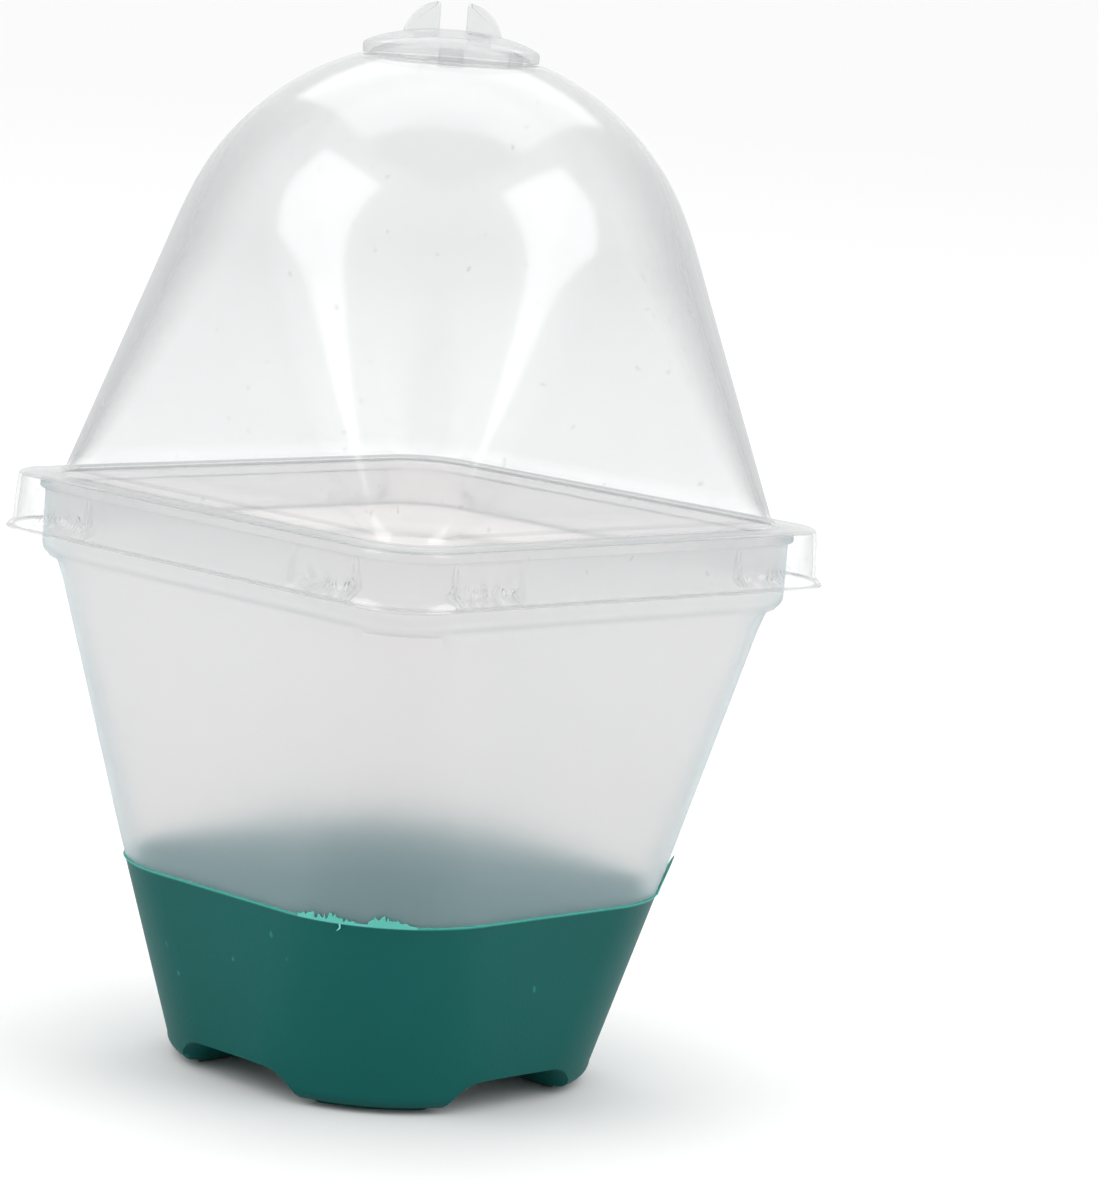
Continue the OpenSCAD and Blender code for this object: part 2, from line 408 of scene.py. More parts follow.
def soft_finish(name, colour, rim_highlight_and_speck_colour, top_z):
    """Satin soft moulding, with a painted highlight along its thin top edge."""
    f = Finish(name)
    height = f.axis("Z")
    fine = f.grain(1400, 2)
    cloud = f.grain(28, 4)
    specks = f.ramp(f.grain(260, 1), (0.765, 0.0), (0.785, 1.0))
    tone = f.blend(cloud, [c * 0.88 for c in colour], [c * 1.14 for c in colour])
    tone = f.blend(specks * 0.25, tone, rim_highlight_and_speck_colour)
    # Painted highlight: the last half millimetre under the top edge is blended towards the rim
    # colour.
    rim = ((height - (top_z - 0.55 * MM)) / (0.35 * MM)).clamped()
    tone = f.blend(rim * 0.75, tone, rim_highlight_and_speck_colour)
    normal = f.bumps(fine * 0.6 + f.grain(160, 3) * 0.4, 0.3, 0.0002)
    return f.done(
        f.shade(
            "Principled",
            Base_Color=tone,
            Roughness=0.42 + 0.14 * cloud + 0.05 * fine,
            Normal=normal,
            Specular_IOR_Level=0.11,
            Sheen_Weight=0.03,
            Sheen_Roughness=0.4,
            Sheen_Tint=(0.6, 0.85, 0.9, 1),
        )
    )


def floor_finish(name, colour):
    """Matt paper, a little deeper in tone under the lamps so that it looks even."""
    f = Finish(name)
    mottle = f.grain(6, 3)
    reach = f.add("ShaderNodeVectorMath", {"operation": "LENGTH"}, {0: f.place()}, out="Value")
    far = ((reach - 0.15) / 1.5).clamped()
    near_tone = f.blend(mottle, colour, [c * 0.992 for c in colour])
    tone = f.blend(far, near_tone, [min(1.0, c * 1.22) for c in colour])
    rough = 0.85 + 0.1 * mottle
    return f.done(f.shade("Principled", Base_Color=tone, Roughness=rough, Specular_IOR_Level=0.1))


# ---------------------------------------------------------------- settings


def length(label, note, value, low=0.0):
    return FloatProperty(
        name=label, description=note, default=value, min=low, unit="LENGTH", precision=5
    )


def colour(label, note, value):
    return FloatVectorProperty(
        name=label, description=note, default=value, size=3, min=0, max=1, subtype="COLOR"
    )


def share(label, note, value):
    return FloatProperty(
        name=label, description=note, default=value, min=0, max=1, subtype="FACTOR"
    )


class PotSettings(bpy.types.PropertyGroup):
    collar_half: length("Collar half width", "From the axis to the collar's face", 47.4 * MM)
    collar_corner: length("Collar corner", "Corner radius of the collar", 10.7 * MM)
    collar_height: length("Collar height", "From the dome's ledge to the collar's step", 13.5 * MM)
    wall_half: length("Wall half width", "Of the wall under the collar", 46 * MM)
    wall_corner: length("Wall corner", "Corner radius of the wall under the collar", 12.2 * MM)
    wall: length("Wall", "Thickness of the pot's wall", 1.2 * MM)
    lip: length("Rim lip", "How far the rim's lip stands out", 0.9 * MM)
    milk: colour("Milk", "Colour that the frosted plastic scatters", (0.52, 0.74, 0.80))
    glow: colour("Glow", "Colour that the frosted plastic lets through", (0.985, 0.895, 0.872))
    clearness: share("Clearness", "How much light goes through", 0.82)
    frost: share("Frost", "How much the wall blurs what is behind it", 0.32)


class BaseSettings(bpy.types.PropertyGroup):
    top_half: length("Top half width", "At the base's top edge", 38.9 * MM)
    top_corner: length("Top corner", "Corner radius at the top edge", 23.2 * MM)
    foot_half: length("Foot half width", "At the ground, before its edge is rounded", 33 * MM)
    foot_corner: length("Foot corner", "Corner radius at the ground", 28 * MM)
    lap: length("Lap", "Length of the lap that grips the pot", 8 * MM)
    floor: length("Floor", "Height of the inside floor", 7.1 * MM)
    channel: length("Channel", "Height of the channels between the feet", 5.5 * MM)
    rubber: colour("Soft plastic", "Colour of the base", (0.003, 0.086, 0.078))
    # The rim colour is a painted highlight along the base's top edge; it also tints the pale
    # specks.
    rim: colour("Rim", "Colour of the thin top edge", (0.06, 0.38, 0.32))
    flash: colour("Flash", "Colour of the thin torn flash", (0.22, 0.62, 0.54))


class DomeSettings(bpy.types.PropertyGroup):
    sheet: length("Sheet", "Thickness of the dome", 0.6 * MM)
    foot_half: length("Foot half width", "Where the dome rises from its ledge", 44.9 * MM)
    foot_corner: length("Foot corner", "Corner radius where the dome rises", 8.7 * MM)
    shoulder: length("Shoulder", "Height over the ledge where the dome becomes round", 47.9 * MM)
    cap_radius: length("Cap radius", "Radius of the round cap", 45.4 * MM)
    cap_centre: length("Cap centre", "Height of the cap's centre over the ledge", 30.9 * MM)
    flat_radius: length("Flat top", "Radius of the flat top under the dial", 15.4 * MM)
    pocket_offset: length("Pocket offset", "From a face's middle to a snap pocket", 32.4 * MM)
    pocket_width: length("Pocket width", "Width of a snap pocket", 14.2 * MM)
    pocket_depth: length("Pocket depth", "Depth of a pocket at its ridge", 1.7 * MM)
    # The haze colour is the sheet's own grey and also the painted shade at its outline and bends.
    haze: colour("Haze", "Colour of the sheet where it turns away", (0.44, 0.45, 0.455))
    haze_share: share("Haze share", "How much of the sheet's own grey shows", 0.075)


class DialSettings(bpy.types.PropertyGroup):
    rim: length("Rim", "Thickness of the dial's rim", 1.6 * MM)
    rise: length("Rise", "From the rim to the crown's middle", 3.1 * MM)
    skin: length("Skin", "Thickness of the dial's wall", 1.3 * MM)
    fin_thickness: length("Fin thickness", "Thickness of a finger fin", 1.2 * MM)
    fin_inner: length("Fin inner", "From the axis to a fin's straight edge", 2.2 * MM)
    fin_outer: length("Fin outer", "From the axis to a fin's outer end", 8.4 * MM)
    fin_angle: FloatProperty(
        name="Fin angle",
        description="Direction of the fins",
        default=math.radians(46),
        subtype="ANGLE",
    )
    vent: length("Vent", "Radius of a vent hole", 2 * MM)
    vent_offset: length("Vent offset", "From the axis to a vent hole", 7.2 * MM)
    # The haze colour is the moulding's own grey and also the painted shade at its outline.
    haze: colour("Haze", "Colour of the moulding where it turns away", (0.42, 0.43, 0.435))
    haze_share: share("Haze share", "How much of the moulding's own grey shows", 0.15)


class StageSettings(bpy.types.PropertyGroup):
    eye: FloatVectorProperty(
        name="Eye",
        description="Where the camera stands",
        default=(0.541381, -0.523409, 0.189180),
        subtype="TRANSLATION",
        precision=5,
    )
    turn: FloatVectorProperty(
        name="Turn",
        description="How the camera is turned",
        default=tuple(math.radians(a) for a in (81.99493, -4.39605, 44.82888)),
        subtype="EULER",
        precision=5,
    )
    lens: FloatProperty(name="Lens", description="Focal length in mm", default=137.523, min=10)
    paper: colour("Paper", "Colour of the floor", (0.77, 0.77, 0.77))
    key: FloatProperty(
        name="Key", description="Power of each side light", default=6.6, min=0, unit="POWER"
    )
    sky: share("Sky", "Strength of the light all round", 1.0)


# ---------------------------------------------------------------- pot and base shape


def wall_section(scene, z):
    """Half width and corner radius of the outer wall at a height, from the collar to the ground."""
    pot, base = scene.seed_pot, scene.seed_base
    step = LEDGE_Z - pot.collar_height
    top = BASE_HIGH.z
    if z >= top:
        k = (step - z) / (step - top)
        low, high = (base.top_half, base.top_corner), (pot.wall_half, pot.wall_corner)
    else:
        k = (top - z) / top
        low, high = (base.foot_half, base.foot_corner), (base.top_half, base.top_corner)
    return tuple(h + (w - h) * k for w, h in zip(low, high))


WALL_COLUMNS = [x * MM for x in (0, 4, 8, 12, 15)]
WALL_ARCS = 14


def wall_ring(section, z, inset=0.0):
    half, corner = section[0] - inset, section[1] - inset
    columns = shrunk_columns(WALL_COLUMNS, half - corner)
    return soft_square(half, corner, z, columns, WALL_ARCS)


class SEEDPOT_OT_pot(bpy.types.Operator):
    """Builds the frosted pot with its collar, step and rim lip"""

    bl_idname = "seedpot.pot"
    bl_label = "Pot"

    def execute(self, context):
        scene = context.scene
        s = scene.seed_pot
        top, low = POT_HIGH.z, POT_LOW.z
        step = LEDGE_Z - s.collar_height
        joint = BASE_HIGH.z
        lap_skin = s.wall / 2
        collar = (s.collar_half, s.collar_corner)
        lip = (collar[0] + s.lip, collar[1] + s.lip)
        lip_h = 1.6 * MM
        rings = []

        def ring(section, z, inset=0.0):
            rings.append(wall_ring(section, z, inset))

        ring(wall_section(scene, low), low, lap_skin)
        ring(wall_section(scene, joint), joint - 0.15 * MM, lap_skin)
        ring(wall_section(scene, joint), joint + 0.02 * MM, 0.1 * MM)
        for k in range(1, 12):
            z = joint + (step - joint) * k / 12
            ring(wall_section(scene, z), z)
        ring(wall_section(scene, step), step - 1.0 * MM)
        for inset, up in ((1.32, -0.5), (1.0, -0.1), (0.5, 0.35), (0.15, 0.95), (0, 1.7)):
            ring(collar, step + up * MM, inset * MM)
        ring(collar, top - lip_h - 0.5 * MM)
        ring(collar, top - lip_h - 0.1 * MM, -0.1 * MM)
        ring(lip, top - lip_h, 0.2 * MM)
        ring(lip, top - lip_h + 0.2 * MM)
        ring(lip, top - 0.35 * MM)
        ring(lip, top - 0.1 * MM, 0.1 * MM)
        ring(lip, top, 0.35 * MM)
        ring(collar, top, s.wall - 0.2 * MM)
        ring(collar, top - 0.2 * MM, s.wall)
        for inset, up in ((0, 4.2), (0.1, 3.3), (0.5, 2.4), (1.0, 1.5)):
            ring(collar, step + up * MM, s.wall + inset * MM)
        ring(wall_section(scene, step), step + 0.3 * MM, s.wall)
        for k in range(1, 12):
            z = step + (joint - step) * k / 12
            ring(wall_section(scene, z), z, s.wall)
        ring(wall_section(scene, joint), joint, s.wall)
        ring(wall_section(scene, low), low, s.wall)
        pot = loft("pot_body", rings, joined=True)
        smooth(pot)
        pot.data.materials.append(
            frosted_finish("frosted plastic", s.milk, s.glow, s.clearness, s.frost)
        )
        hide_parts("pot")
        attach(pot, "pot")
        return {"FINISHED"}


def channel_cutter(s, reach):
    """The arched channel's solid, along the Y axis."""
    half = (
        (19.0, -2.0),
        (15.6, -0.05),
        (14.6, 0.12),
        (13.7, 0.5),
        (12.9, 1.15),
        (12.3, 2.0),
        (11.8, 2.9),
        (11.2, 3.85),
        (10.5, 4.7),
        (9.6, 5.25),
        (8.5, 5.5),
        (4.0, 5.56),
        (0.0, 5.58),
    )
    mouths = ((25, 0), (28, 0.25), (30, 0.75), (31.6, 1.4), (33, 2.3), (34.2, 3.4), (36, 5))
    mouths += ((reach / MM, 5),)
    scale = s.channel / (5.5 * MM)
    rings = []
    for sign, places in ((-1, reversed(mouths)), (1, mouths)):
        for y, flare in places:
            right = []
            for x, z in half:
                wider = flare * min(1.0, max(0.0, (5.5 - z) / 3.5)) ** 0.8 if x > 4 else 0.0
                right.append((x + wider, z * scale if z > 0 else z))
            outline = right + [(-x, z) for x, z in reversed(right[:-1])]
            rings.append([Vector((x, sign * y, z)) * MM for x, z in outline])
    return loft("channel", rings)


class SEEDPOT_OT_base(bpy.types.Operator):
    """Builds the soft green base with its feet, channels and drain holes"""

    bl_idname = "seedpot.base"
    bl_label = "Soft base"

    def execute(self, context):
        scene = context.scene
        s = scene.seed_base
        wall = scene.seed_pot.wall
        top = BASE_HIGH.z
        lap_z = top - s.lap
        rings = []

        def ring(z, inset=0.0, at=None):
            rings.append(wall_ring(wall_section(scene, z if at is None else at), z, inset))

        edge = 3.6 * MM
        sole = 0.85 * MM
        for inset, z in ((4.8, 0.0), (4.55, 0.04), (4.5, 0.7), (4.3, 0.85)):
            ring(z * MM, inset * MM, edge)
        bend = 3.05 * MM
        for k in range(1, 10):
            a = math.pi / 2 * k / 10
            ring(
                sole + (edge - sole) * (1 - math.cos(a)) ** 0.95,
                bend * (1 - math.sin(a)) ** 1.05,
                edge,
            )
        for k in range(11):
            z = edge + (top - 0.7 * MM - edge) * k / 10
            ring(z)
        ring(top - 0.55 * MM, -0.04 * MM)
        ring(top - 0.42 * MM, -0.16 * MM)
        ring(top - 0.2 * MM, -0.2 * MM, top)
        ring(top - 0.02 * MM, -0.1 * MM, top)
        ring(top, 0.1 * MM, top)
        ring(top, wall / 2 - 0.06 * MM, top)
        ring(top - 0.1 * MM, wall / 2, top)
        ring(lap_z, wall / 2)
        ring(lap_z, wall)
        for k in range(1, 8):
            ring(lap_z + (s.floor + 2.5 * MM - lap_z) * k / 7, wall)
        for k in range(1, 6):
            a = math.pi / 2 * k / 5
            ring(
                s.floor + 2.5 * MM * (1 - math.sin(a)),
                wall + 2.5 * MM * (1 - math.cos(a)),
                s.floor + 2.5 * MM,
            )
        base = loft("base_body", rings)
        reach = 60 * MM
        combine(base, channel_cutter(s, reach), "DIFFERENCE")
        cutter = channel_cutter(s, reach)
        turn_mesh(cutter, math.pi / 2)
        combine(base, cutter, "DIFFERENCE")
        drill(base, (0, 0), DRAIN_RADIUS, -1 * MM, s.floor + 1 * MM)
        for k in range(4):
            a = math.pi / 2 * k
            spot = (DRAIN_OFFSET * math.cos(a), DRAIN_OFFSET * math.sin(a))
            drill(base, spot, SMALL_DRAIN_RADIUS, -1 * MM, s.floor + 1 * MM, 32)
        smooth(base, 34)
        finish = soft_finish("soft green plastic", s.rubber, s.rim, top)
        base.data.materials.append(finish)
        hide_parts("soft_base")
        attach(base, "pot")
        return {"FINISHED"}


def wall_point(scene, corner, a, z, out):
    """A point on the pot's wall, round one of its corners, at a direction and height."""
    half, radius = wall_section(scene, max(z, BASE_HIGH.z))
    flat = half - radius
    reach = radius + out
    return Vector(
        (
            corner[0] * flat + reach * math.cos(a),
            corner[1] * flat + reach * math.sin(a),
            z,
        )
    )


def flash_strip(scene, name, corner, start, stop, height, steps, lean):
    """A torn film of flash that stands on the base's rim and lies against the wall."""
    low = BASE_HIGH.z - 0.25 * MM
    rings = []
    for k in range(steps + 1):
        u = k / steps
        a = start + (stop - start) * u
        h = max(0.12 * MM, height(u) * MM) + 0.25 * MM
        rings.append(
            [
                wall_point(scene, corner, a, low, 0.30 * MM),
                wall_point(scene, corner, a, low + h * 0.55, 0.28 * MM + lean * h * 0.3),
                wall_point(scene, corner, a, low + h * 0.9, 0.24 * MM + lean * h * 0.8),
                wall_point(scene, corner, a, low + h, 0.14 * MM + lean * h),
                wall_point(scene, corner, a, low + h * 0.9, 0.04 * MM + lean * h * 0.8),
                wall_point(scene, corner, a, low + h * 0.55, 0.03 * MM + lean * h * 0.3),
                wall_point(scene, corner, a, low, 0.04 * MM),
            ]
        )
    return loft(name, rings)


def torn(u):
    """Height in mm of the ragged film left of the front corner."""
    rough = noise.noise(Vector((u * 21, 0.3, 4.1))) + 0.6 * noise.noise(Vector((u * 47, 2.3, 7.7)))
    return max(0.0, 0.75 + 1.35 * rough) * math.sin(math.pi * min(1.0, u * 1.15 + 0.05)) ** 0.5


def hump(u):
    """Height in mm of the low jagged tongue at the front corner."""
    rough = noise.noise(Vector((u * 11, 1, 1))) + 0.7 * noise.noise(Vector((u * 31, 4, 2)))
    return max(0.0, 1.35 + 0.95 * rough) * math.sin(math.pi * u**0.55) ** 0.9


def sliver(u):
    """Height in mm of the upright film at the right-hand corner."""
    return 6.0 * math.sin(math.pi * u) ** 1.6 + 0.35 * noise.noise(Vector((u * 14, 5, 2)))


def flash_thread(scene):
    """A short thread of flash that hangs from the rim."""
    a = math.radians(-45 - 17)
    top = BASE_HIGH.z
    rings = []
    for drop, out, across, r in (
        (0.05, 0.05, 0.0, 0.22),
        (0.4, 0.42, 0.05, 0.16),
        (0.8, 0.40, 0.16, 0.12),
        (1.15, 0.33, 0.05, 0.17),
        (1.45, 0.28, -0.25, 0.10),
        (1.6, 0.24, -0.42, 0.04),
    ):
        half, radius = wall_section(scene, top - drop * MM)
        flat, reach = half - radius, radius + out * MM
        turn = a + across * MM / reach
        centre = Vector(
            (flat + reach * math.cos(turn), -flat + reach * math.sin(turn), top - drop * MM)
        )
        side = Vector((-math.sin(turn), math.cos(turn), 0))
        face = Vector((math.cos(turn), math.sin(turn), 0))
        rings.append(
            [
                centre + (side * math.cos(b) + face * math.sin(b)) * r * MM
                for b in (math.tau * i / 10 for i in range(10))
            ]
        )
    return loft("flash_thread", rings)


class SEEDPOT_OT_flash(bpy.types.Operator):
    """Builds the torn moulding flash on the rim of the soft base"""

    bl_idname = "seedpot.flash"
    bl_label = "Rim flash"

    def execute(self, context):
        scene = context.scene
        front, right = (1, -1), (1, 1)
        # Most of the flash stands above the rim's band, so it takes the base's painted rim
        # highlight.
        finish = soft_finish(
            "green flash", scene.seed_base.flash, scene.seed_base.rim, BASE_HIGH.z
        )
        strips = (
            ("flash_torn", front, -81, -50, torn, 90, 0.06),
            ("flash_tongue", front, -51, -31, hump, 60, 0.05),
            ("flash_sliver", right, 36, 57, sliver, 40, 0.1),
        )
        pieces = []
        for name, corner, start, stop, height, steps, lean in strips:
            angles = math.radians(start), math.radians(stop)
            pieces.append(flash_strip(scene, name, corner, *angles, height, steps, lean))
        pieces.append(flash_thread(scene))
        for piece in pieces:
            smooth(piece, 50)
            piece.data.materials.append(finish)
            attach(piece, "pot")
        return {"FINISHED"}


# ---------------------------------------------------------------- dome


def pocket_dent(s):
    """How far a snap pocket pushes the skirt in, by place along the face and height."""
    half = s.pocket_width / 2
    profile = (
        (-9.4, 0.0),
        (-9.0, 0.0),
        (-8.3, 0.75),
        (-7.5, 2.05),
        (-7.0, 2.25),
        (-6.4, 2.2),
        (-2.9, 0.62),
        (-2.3, 0.30),
        (-2.1, 0.0),
        (2.0, 0.0),
    )

    def level(z):
        drop = (z - LEDGE_Z) / MM
        for (z0, d0), (z1, d1) in zip(profile, profile[1:]):
            if z0 <= drop <= z1:
                return d0 + (d1 - d0) * (drop - z0) / (z1 - z0)
        return 0.0

    def dent(x, z):
        off = abs(abs(x) - s.pocket_offset)
        if off > half:
            return 0.0
        shape = min(1.0, (half - off) / (0.2 * MM))
        amount = level(z)
        drop = (z - LEDGE_Z) / MM
        if -8.9 < drop < -5.2:
            ripple = noise.noise(Vector((x / MM * 1.05, drop * 0.8, 3.7 if x > 0 else 9.1)))
            amount += 1.7 * ripple * shape * math.sin(math.pi * (drop + 8.9) / 3.7)
        return max(0.0, amount) * shape * s.pocket_depth / 2.2

    return dent


SKIRT_COLUMNS = [
    x * MM
    for x in (
        *(0, 6, 12, 18, 22, 25.25, 25.5),
        *(26 + 0.62 * k for k in range(22)),
        *(39.3, 39.55, 40),
    )
]
DOME_ARCS = 20


def dome_sections(s):
    """Sections of the dome's outside, from the skirt's lip up to the flat top."""
    dent = pocket_dent(s)
    rings = []

    def skirt(drop, half, corner):
        rings.append(
            soft_square(
                half * MM,
                corner * MM,
                LEDGE_Z - drop * MM,
                SKIRT_COLUMNS,
                DOME_ARCS,
                dent,
            )
        )

    for drop, half, corner in (
        (9.4, 52.2, 11.9),
        (9.05, 52.17, 12.4),
        (8.7, 52.13, 13.1),
        (8.3, 52.08, 13.7),
        (7.9, 52.0, 13.95),
        (7.5, 51.93, 13.8),
        (7.0, 51.85, 13.55),
        (6.4, 51.75, 13.25),
        (5.6, 51.6, 12.8),
        (4.6, 51.4, 12.3),
        (3.7, 51.22, 11.85),
        (2.9, 51.06, 11.4),
        (2.3, 50.94, 11.1),
        (2.08, 50.9, 11.0),
        (1.5, 50.78, 10.75),
        (1.0, 50.68, 10.5),
        (0.6, 50.55, 10.25),
        (0.3, 50.36, 9.9),
        (0.12, 50.12, 9.6),
        (0.03, 49.85, 9.3),
        (0.0, 49.5, 8.9),
    ):
        skirt(drop, half, corner)

    def face(half, corner, z):
        columns = shrunk_columns(SKIRT_COLUMNS, half - corner)
        rings.append(soft_square(half, corner, z, columns, DOME_ARCS))

    face(48.0 * MM, 8.8 * MM, LEDGE_Z)
    face(47.0 * MM, 9.2 * MM, LEDGE_Z)
    fillet = 1.3 * MM
    for k in range(5):
        a = math.pi / 2 * k / 5
        grow = fillet * (1 - math.sin(a))
        face(s.foot_half + grow, s.foot_corner + grow, LEDGE_Z + fillet * (1 - math.cos(a)))

    lean = math.asin((s.shoulder - s.cap_centre) / s.cap_radius)
    shoulder_r = s.cap_radius * math.cos(lean)

    def rising(t):
        swell = DOME_SWELL * math.sin(math.pi * t**0.6)
        half = s.foot_half + (shoulder_r - s.foot_half) * t + swell * (1 - math.sqrt(0.5))
        corner = s.foot_corner + (shoulder_r - s.foot_corner) * t + swell
        columns = shrunk_columns(SKIRT_COLUMNS, max(0.0, half - corner))
        return soft_square(half, corner, LEDGE_Z + s.shoulder * t, columns, DOME_ARCS)

    def on_cap(angle):
        radius = s.cap_radius * math.cos(angle)
        z = LEDGE_Z + s.cap_centre + s.cap_radius * math.sin(angle)
        return soft_square(radius, radius, z, [0.0 for _ in SKIRT_COLUMNS], DOME_ARCS)

    start, stop = 0.78, lean + math.radians(13)
    first = fillet / s.shoulder
    for k in range(13):
        rings.append(rising(first + (start - first) * k / 12))
    low, high = rising(start), on_cap(stop)
    below = rising(start - 0.01)
    above = on_cap(stop + 0.01)
    steps = 9
    for k in range(1, steps):
        u = k / steps
        ring = []
        for p, q, p0, q1 in zip(low, high, below, above):
            span = (q - p).length
            out = (p - p0).normalized() * span
            end = (q1 - q).normalized() * span
            h00, h10 = 2 * u**3 - 3 * u**2 + 1, u**3 - 2 * u**2 + u
            h01, h11 = 3 * u**2 - 2 * u**3, u**3 - u**2
            ring.append(h00 * p + h10 * out + h01 * q + h11 * end)
        rings.append(ring)
    brow = math.acos((s.flat_radius + 0.9 * MM) / s.cap_radius)
    for k in range(13):
        rings.append(on_cap(stop + (brow - stop) * k / 12))
    flat_z = DOME_HIGH.z
    for radius, drop in ((15.75, 0.13), (15.1, 0.02), (14.6, 0.0), (14.0, 0.0)):
        r = radius * MM
        rings.append(
            soft_square(r, r, flat_z - drop * MM, [0.0 for _ in SKIRT_COLUMNS], DOME_ARCS)
        )
    return rings


def slot_cutter(radius, offset, start, sweep, low, high):
    """A curved slot with round ends, as an upright solid."""
    outline = []
    steps = 20
    for k in range(steps + 1):
        a = start + sweep * k / steps
        outline.append((math.cos(a) * (offset + radius), math.sin(a) * (offset + radius)))
    for k in range(1, 10):
        a = start + sweep + math.pi * k / 10
        c = (math.cos(start + sweep) * offset, math.sin(start + sweep) * offset)
        outline.append((c[0] + radius * math.cos(a), c[1] + radius * math.sin(a)))
    for k in range(steps + 1):
        a = start + sweep * (1 - k / steps)
        outline.append((math.cos(a) * (offset - radius), math.sin(a) * (offset - radius)))
    for k in range(1, 10):
        a = start + math.pi + math.pi * k / 10
        c = (math.cos(start) * offset, math.sin(start) * offset)
        outline.append((c[0] + radius * math.cos(a), c[1] + radius * math.sin(a)))
    return loft("slot", [[Vector((x, y, z)) for x, y in outline] for z in (low, high)])


class SEEDPOT_OT_dome(bpy.types.Operator):
    """Builds the clear dome with its ledge, skirt, snap pockets, and the holes under the dial"""

    bl_idname = "seedpot.dome"
    bl_label = "Humidity dome"

    def execute(self, context):
        s = context.scene.seed_dome
        dial = context.scene.seed_dial
        rings = dome_sections(s)
        dome = loft("dome_sheet", rings, ends=(False, True))
        apply_modifier(
            dome, "SOLIDIFY", thickness=s.sheet, offset=-1.0, use_even_offset=True, use_rim=True
        )
        low, high = DOME_HIGH.z - 2 * MM, DOME_HIGH.z + 1 * MM
        drill(dome, (0, 0), HUB_HOLE_RADIUS, low, high)
        turned = dial.fin_angle - math.radians(52) + math.radians(90)
        for k in range(2):
            a = turned + math.pi * k
            spot = (dial.vent_offset * math.cos(a), dial.vent_offset * math.sin(a))
            drill(dome, spot, dial.vent, low, high)
        slot = slot_cutter(
            1.5 * MM, PEG_OFFSET, dial.fin_angle - math.radians(20), math.pi / 2, low, high
        )
        combine(dome, slot, "DIFFERENCE")
        smooth(dome, 32)
        # 1.25 and 2.9 set how strongly painted shade greys the dome towards its outline.
        dome.data.materials.append(
            clear_finish("clear sheet", s.haze, s.haze_share, 1.25, 2.9, 0.12, DOME_HIGH.z)
        )
        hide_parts("dome")
        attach(dome, "dome")
        return {"FINISHED"}


# ---------------------------------------------------------------- vent dial


def crown_height(r, radius, base, rise):
    return base + rise * max(0.0, 1 - (r / radius) ** 2) ** 0.75


def fin(s, floor, root, top, side):
    """One finger fin with softened edges, standing on the dial."""
    outline = [(s.fin_inner, root)]
    steps = 16
    for k in range(steps + 1):
        a = math.pi / 2 * k / steps
        outline.append(
            (
                s.fin_inner + (s.fin_outer - s.fin_inner) * math.cos(a) ** 1.05,
                root + (top - root) * math.sin(a) ** 1.12,
            )
        )
    outline = outline[:-1] + [
        (s.fin_inner + 0.7 * MM, top - 0.02 * MM),
        (s.fin_inner + 0.2 * MM, top - 0.2 * MM),
        (s.fin_inner, top - 0.7 * MM),
    ]
    centre = (s.fin_inner + 1.6 * MM, root + 2 * MM)
    a = s.fin_angle + (math.pi if side else 0)
    along, across = Vector((math.cos(a), math.sin(a), 0)), Vector((-math.sin(a), math.cos(a), 0))
    half = s.fin_thickness / 2
    rings = []
    for offset, shrink in (
        (-half, 0.86),
        (-half * 0.8, 0.95),
        (-half * 0.4, 1.0),
        (half * 0.4, 1.0),
        (half * 0.8, 0.95),
        (half, 0.86),
    ):
        ring = []
        for x, z in outline:
            x2 = centre[0] + (x - centre[0]) * shrink
            z2 = centre[1] + (z - centre[1]) * (shrink if z > centre[1] else 1.0)
            ring.append(along * x2 + across * offset + Vector((0, 0, floor + z2)))
        rings.append(ring)
    return loft("fin", rings)


